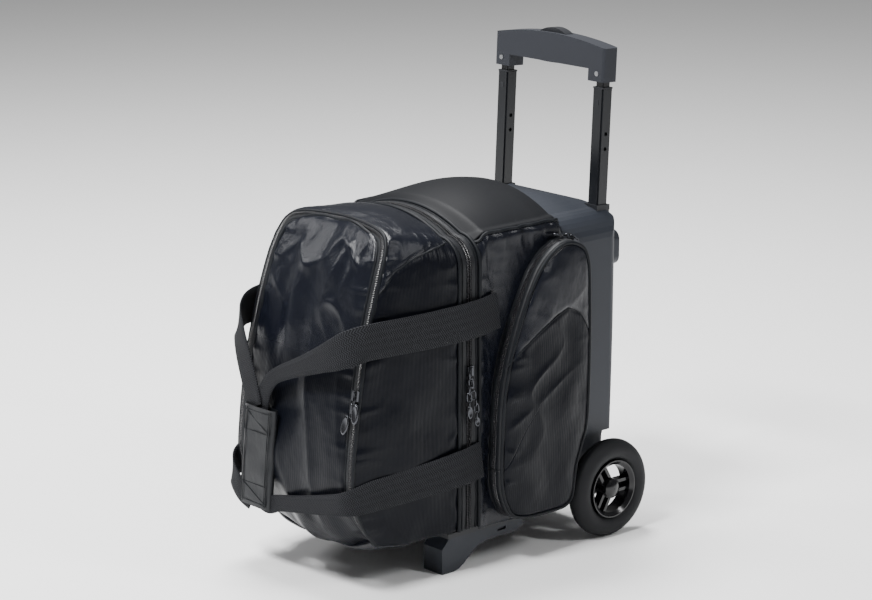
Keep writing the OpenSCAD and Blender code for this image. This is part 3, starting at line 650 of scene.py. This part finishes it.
for s, tag in ((1, "right"), (-1, "left")):
    flap, off = f"pocket_flap_{tag}", 0 if s > 0 else 5
    # gusset sewn to the bag
    cols = [(0.0, 121.6), (0.6, 124.0), (1.0, 127.5), (0.9, 131.0), (0.3, 133.2), (-3.0, 133.6)]
    P = rings([(-a * 1.2, x) for a, x in cols])
    wob = ridge(np.arange(N_RIM)[:, None] / 4.0, np.arange(len(cols))[None] / 9.0, 3 + off) * 1.3
    P[..., 0] -= 4.6 * ease(P[..., 1], 110, 113) * np.array([1, 0.8, 0, 0, 0, 0])
    P[..., 1:] += RIM_N[:, None] * (wob * np.sin(np.linspace(0, np.pi, len(cols)))[None])[..., None]
    g = surface(f"pocket_gusset_{tag}", mirror(P, s), TAPE, "bag", thick=1.2, flip=s > 0)
    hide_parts(f"pocket_{tag}", *(["pocket_zips"] if s > 0 else []))
    tube(f"pocket_base_piping_{tag}", mirror(ring(-1.6, 123.6), s), 1.9, PIPING, "bag", up=(1, 0, 0))
    T = rings([(-0.6, 131.0), (-1.9, 131.3), (-2.2, 132.4), (-1.9, 133.9), (-0.6, 134.0)])
    surface(f"pocket_teeth_{tag}", mirror(T, s), TEETH, "bag", thick=0.8, flip=s > 0)
    # the cover: second row of teeth, gusset, piping and the padded face
    T = rings([(-0.6, 134.4), (-1.9, 134.5), (-2.2, 135.6), (-1.9, 136.9), (-0.6, 137.2)])
    surface(f"pocket_cover_teeth_{tag}", mirror(T, s), TEETH, flap, thick=0.8, flip=s > 0)
    cols = [(-3.0, 134.6), (0.3, 134.9), (0.9, 138.5), (1.0, 142.0), (0.4, 145.6)]
    P = rings([(-a * 1.2, x) for a, x in cols])
    P[..., 1:] += RIM_N[:, None] * (wob[:, :5] * 0.6 * np.sin(np.linspace(0, np.pi, 5))[None])[..., None]
    g = surface(f"pocket_cover_gusset_{tag}", mirror(P, s), TAPE, flap, thick=1.2, flip=s > 0)
    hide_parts(f"flap_{tag}")
    tube(f"pocket_edge_piping_{tag}", mirror(ring(0.2, 146.4), s), 2.2, PIPING, flap, up=(1, 0, 0))
    k = np.linspace(0, 1, 62)[None, :]
    inset = RIM - RIM_N * 1.6
    yz = mid + (inset - mid)[:, None] * (1 - k[..., None])
    depth = np.linalg.norm(yz - inset[:, None], axis=2)
    dome = 5.0 * (1 - np.exp(-depth / 14.0))
    y, z = yz[..., 0], yz[..., 1]
    over = z - np.interp(y, PSEAM[:, 0], PSEAM[:, 1])
    rim_gap = np.exp(-depth / 17.0) * (1 - np.exp(-depth / 2.5))
    frontness = ease(y, 70, 0)
    w = rim_gap * (6.5 * frontness + 1.2) * ridge(z / 20, y / 60, 1 + off)
    w += 2.4 * noise(y / 30, z / 48, 2 + off) * (1 - np.exp(-depth / 16))
    w += (3.6 * ridge((z - 0.55 * y) / 40, (y + 0.55 * z) / 95, 3 + off) * (1 - np.exp(-depth / 10))
          * (0.35 + 0.65 * ease(y, 95, 20)))
    w -= 1.5 * np.exp(-(over / 2.4) ** 2) * (1 - np.exp(-depth / 3))
    by_seam = np.exp(-np.abs(over) / 10) * (1 - np.exp(-np.abs(over) / 2.5))
    w += by_seam * 1.8 * ridge((y + z) / 13, over / 60, 4 + off) * (1 - np.exp(-depth / 8))
    P = np.stack([146.6 + dome + w * 0.85, y, z], -1)
    uv = np.stack([z, y], -1) * MM
    surface(f"pocket_face_{tag}", mirror(P, s), RIBBED, flap, uv=uv, mask=ease(-over, -1, 1),
            thick=1.4, flip=s < 0)
    line = []
    for yy in np.linspace(-13, 127, 60):
        zz = np.interp(yy, PSEAM[:, 0], PSEAM[:, 1])
        q = np.argmin((P[..., 1] - yy) ** 2 + (P[..., 2] - zz) ** 2)
        line.append((P[..., 0].flat[q] + 0.5, yy, zz))
    tube(f"pocket_seam_{tag}", mirror(relaxed(line, 5), s), 0.8, PIPING, flap, up=(1, 0, 0), seg=6)

# ---------------------------------------------------------------- webbing loops
WEB_T = 2.2  # thickness of the webbing


def webbing(name, knots, body, seed, n=150):
    """knots: (x, y, z, angle of the face round Z from +X, width)"""
    k = np.array(knots, float)
    p = curve(k[:, :3], n)
    s = np.r_[0, np.cumsum(np.linalg.norm(np.diff(k[:, :3], axis=0), axis=1))]
    a = np.radians(np.interp(np.linspace(0, s[-1], n), s, k[:, 3]))
    out = np.column_stack([np.cos(a), np.sin(a), 0.06 * np.sin(np.linspace(0, 9, n) + seed)])
    p = p + out * (0.9 * noise(np.linspace(0, 7, n), seed, 2))[:, None]
    wide = np.interp(np.linspace(0, s[-1], n), s, k[:, 4])
    return band(name, p, out, wide, WEB_T, WEB, body)


UP_R = [(131.5, -10, 327, 0, 46), (134.5, -40, 324, 0, 46), (134.5, -74, 322, -3, 46), (128, -130, 320, -8, 46),
        (117.5, -192, 318, -20, 46), (112, -213, 316, -42, 45), (102, -226, 310, -66, 43),
        (85, -233, 301, -80, 38), (68, -236, 293.5, -86, 32), (40, -238, 281, -90, 26),
        (11, -238.5, 269, -90, 21), (-18, -239, 255, -90, 19), (-33, -239, 240, -90, 21),
        (-42, -239, 222, -90, 24), (-45, -239, 203, -90, 26)]
LOW_R = [(131.5, -36, 143, 0, 46), (134.5, -60, 141, 0, 46), (134, -80, 139, -3, 46), (127, -140, 133, -8, 44),
         (118, -200, 128, -14, 40), (113, -224, 125, -40, 34), (103, -236, 122, -72, 28),
         (70, -239, 114, -90, 25), (30, -240, 105, -90, 22), (-12, -240, 96, -90, 21), (-34, -240, 89, -90, 24),
         (-50, -239.5, 92, -90, 26)]
webr = webbing("strap_right_upper_web", UP_R, "strap_loop_right", 1)
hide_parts("strap_right")
webbing("strap_right_lower_web", LOW_R, "strap_loop_right", 2)
UP_L = [(-131.5, -10, 327, 180, 46), (-134.5, -40, 324, 180, 46), (-134.5, -74, 322, 183, 46),
        (-128, -130, 320, 188, 46), (-117.5, -192, 318, 200, 46), (-110, -216, 311, 224, 44),
        (-98, -230, 298, 250, 40), (-82, -237, 270, 262, 36), (-66, -240, 238, 270, 32),
        (-54, -241, 210, 270, 26)]
LOW_L = [(-131.5, -36, 143, 180, 46), (-134.5, -60, 141, 180, 46), (-134, -80, 139, 177, 46),
         (-127, -140, 133, 188, 45), (-119, -200, 128, 194, 44), (-114, -226, 122, 222, 40),
         (-104, -238, 112, 252, 34), (-84, -241, 96, 268, 30), (-64, -241, 88, 270, 28)]
webl = webbing("strap_left_upper_web", UP_L, "strap_loop_left", 3)
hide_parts("strap_left")
webbing("strap_left_lower_web", LOW_L, "strap_loop_left", 4)
# the wrapped grip of the two loops
rows, cols = 60, 41
v = np.linspace(0, 1, rows)[:, None]
ang = np.linspace(0, 2 * np.pi, cols)[None]
cx, cz = -43 - 14 * v, 212 - 130 * v
half_w, half_d = 29, 5.2 + 1.2 * np.sin(np.pi * v)
sq = lambda c, e: np.sign(c) * np.abs(c) ** e
P = np.stack([cx + half_w * sq(np.cos(ang), 0.55), -239.5 + half_d * sq(np.sin(ang), 0.6), cz + 0 * ang], -1)
P[..., 1] += (0.9 * noise(P[..., 2] / 18, P[..., 0] / 22, 5)) * (np.sin(ang) < 0)
wrap = surface("grip_wrap", P, TAPE, "strap_loop_right", flip=True)
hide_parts("strap_wrap")
for off in (-24, 24, -21, 21):
    row = [(-43 - 14 * t + off, -245.4 - math.sin(math.pi * t), 209 - 124 * t) for t in np.linspace(0, 1, 20)]
    tube(f"wrap_stitch_{off}".replace("-", "m"), row, 0.5, PIPING, "strap_loop_right", up=(0, 1, 0), seg=6)
for z0, z1 in ((206, 180), (112, 88)):
    x0, x1 = -43 - 14 * (212 - z0) / 130 - 24, -43 - 14 * (212 - z0) / 130 + 24
    box = [(x0, z0), (x1, z0), (x1 - 2, z1), (x0 - 2, z1), (x0, z0), (x1 - 2, z1)]
    tube(f"wrap_box_{z0}", [(x, -245.6, z) for x, z in box], 0.5, PIPING, "strap_loop_right",
         up=(0, 1, 0), seg=6)

# ---------------------------------------------------------------- pulls
def placed(P, M):
    """Grid points in mm carried by a 4x4 matrix."""
    M = np.array(M)
    return P @ M[:3, :3].T + M[:3, 3]


def link(name, M, z0, z1, half_w, wire, body):
    """A wire loop in local Y-Z from z0 down to z1."""
    a = np.linspace(0, 2 * np.pi, 33)
    h, m = (z0 - z1) / 2, (z0 + z1) / 2
    p = np.column_stack([0 * a, half_w * sq(np.cos(a), 0.75), m + h * sq(np.sin(a), 0.75)])
    return tube(name, placed(p, M), wire, PULL, body, up=np.array(M)[:3, 0], seg=8)


def oval_tag(name, M, z0, z1, half_w, body):
    """A flat oval with a raised rim in local Y-Z from z0 down to z1."""
    a = np.linspace(0, 2 * np.pi, 41)[:, None]
    h, m = (z0 - z1) / 2, (z0 + z1) / 2
    prof = [(0.0, 0.7), (0.55, 0.7), (0.72, 1.2), (0.9, 1.3), (1.0, 0.6)]
    prof += [(q, -t) for q, t in prof[::-1]]
    r = np.array([q[0] for q in prof])[None]
    t = np.array([q[1] for q in prof])[None]
    P = np.stack([t + 0 * a, half_w * r * np.cos(a), m + h * r * np.sin(a)], -1)
    return surface(name, placed(P, M), PULL, body)


def turned(degrees, axis):
    return Matrix.Rotation(math.radians(degrees), 4, axis)


def moved(x, y, z):
    return Matrix.Translation((x, y, z))


FRONT_LEAN = 8.6  # degrees that the front zip's straight part leans back
BAR = 4.75  # from a slider's frame out to the bar its pull hangs on


def hung(M):
    """From a slider's frame to its pull's: on the bar, tipped a little outwards."""
    return M @ moved(BAR, 0, 0) @ turned(-4, "Y")


for up_, z, side_ in (("upper", 252, 5.0), ("lower", 236, -5.0)):
    M = moved(105.4, -210.5 + (z - 250) * math.tan(math.radians(FRONT_LEAN)), z)
    M = M @ turned(-FRONT_LEAN, "X") @ turned(-90, "Z") @ moved(3.2, 0, 0)
    b = f"front_pull_{up_}"
    H = hung(M)
    o = link(f"front_pull_{up_}_ring", H, 1.0, -10.5, 2.9, 0.75, b)
    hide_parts(f"pull_front_{up_}")
    T = H @ moved(0.6, side_, 0) @ turned(side_ * 1.5, "X")
    oval_tag(f"front_pull_{up_}_tag", T, -8.5, -33, 5.6, b)
for up_, z, ln, side_ in (("upper", 258, 58, -6.0), ("lower", 242, 54, 6.0)):
    b = f"main_pull_{up_}"
    H = hung(moved(126.8, ZY, z))
    o = link(f"main_pull_{up_}_ring", H, 1.0, -10, 2.9, 0.8, b)
    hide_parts(f"pull_main_{up_}")
    z0, k = -8.5, 0
    while z0 > -ln + 16:
        T = H @ moved(0.5, side_ * min(1, (-z0 - 4) / 14), 0) @ turned(50 if k % 2 else -25, "Z")
        link(f"main_pull_{up_}_link{k}", T, z0, z0 - 11, 2.7, 1.0, b)
        z0 -= 8.6
        k += 1
    oval_tag(f"main_pull_{up_}_tag", H @ moved(0.5, side_, 0), z0 + 1.5, -ln, 4.0, b)
for s, tag in ((1, "right"), (-1, "left")):
    M = moved(s * 132, 88, 351) @ turned(-34, "X") @ moved(0, 0, 49.2) @ turned(-90, "Z") @ turned(-90, "Y")
    b = f"pocket_pull_{tag}"
    H = hung(M)
    o = link(f"pocket_pull_{tag}_ring", H, 1.0, -10.5, 2.9, 0.75, b)
    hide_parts(f"pull_pocket_{tag}")
    H = H @ moved(0, 0, -8.6) @ turned(26, "Y")
    link(f"pocket_pull_{tag}_link", H @ turned(70, "Z"), 1.5, -9, 2.5, 0.85, b)
    link(f"pocket_pull_{tag}_link2", H @ turned(-10, "Z"), -7, -17, 2.6, 0.85, b)
    oval_tag(f"pocket_pull_{tag}_tag", H, -15, -31, 4.0, b)

# ---------------------------------------------------------------- studio
floor = bpy.data.meshes.new("floor")
WIDE = 9  # half the floor's width in metres
floor.from_pydata([(-WIDE, -WIDE, 0), (WIDE, -WIDE, 0), (WIDE, WIDE, 0), (-WIDE, WIDE, 0)], [], [(0, 1, 2, 3)])
ground = bpy.data.objects.new("floor", floor)
bpy.context.scene.collection.objects.link(ground)
paper, nt_, b_ = material("paper", (0.92, 0.92, 0.92), 0.95, 0.0)
floor.materials.append(paper)


def lamp(name, loc, aim, size, power):
    """A soft rectangular lamp at loc, turned to aim."""
    d = bpy.data.lights.new(name, "AREA")
    d.shape, d.size, d.size_y, d.energy = "RECTANGLE", size[0], size[1], power
    o = bpy.data.objects.new(name, d)
    o.location = loc
    o.rotation_euler = (Vector(aim) - Vector(loc)).to_track_quat("-Z", "Y").to_euler()
    bpy.context.scene.collection.objects.link(o)
    return o


lights = [lamp("key", (0.2, -1.7, 2.7), (0, -0.05, 0.2), (0.8, 0.45), 130),
          lamp("side", (2.3, 0.9, 2.2), (0, 0, 0.25), (0.3, 0.8), 30),
          lamp("top", (-0.9, 0.3, 2.9), (0, 0, 0.2), (1.3, 0.9), 150),
          lamp("fill", (-2.1, -1.3, 1.9), (0, 0, 0.25), (0.3, 0.7), 26)]
world = bpy.data.worlds.new("studio")
bpy.context.scene.world = world
world.use_nodes = True
bg = world.node_tree.nodes["Background"]
bg.inputs[0].default_value = (1, 1, 1, 1)
bg.inputs[1].default_value = 0.2

cam_data = bpy.data.cameras.new("camera")
cam_data.lens, cam_data.sensor_width = 113.53, 36
camera = bpy.data.objects.new("camera", cam_data)
AZIMUTH, ELEVATION = math.radians(48.3), math.radians(14.4)
ca, sa, ce, se = math.cos(AZIMUTH), math.sin(AZIMUTH), math.cos(ELEVATION), math.sin(ELEVATION)
EYE = (2.48990, -2.21286, 1.16796)
camera.matrix_world = Matrix(((ca, -sa * se, sa * ce, EYE[0]), (sa, ca * se, -ca * ce, EYE[1]),
                              (0, ce, se, EYE[2]), (0, 0, 0, 1)))
bpy.context.scene.collection.objects.link(camera)
bpy.context.scene.camera = camera

bpy.context.view_layer.update()
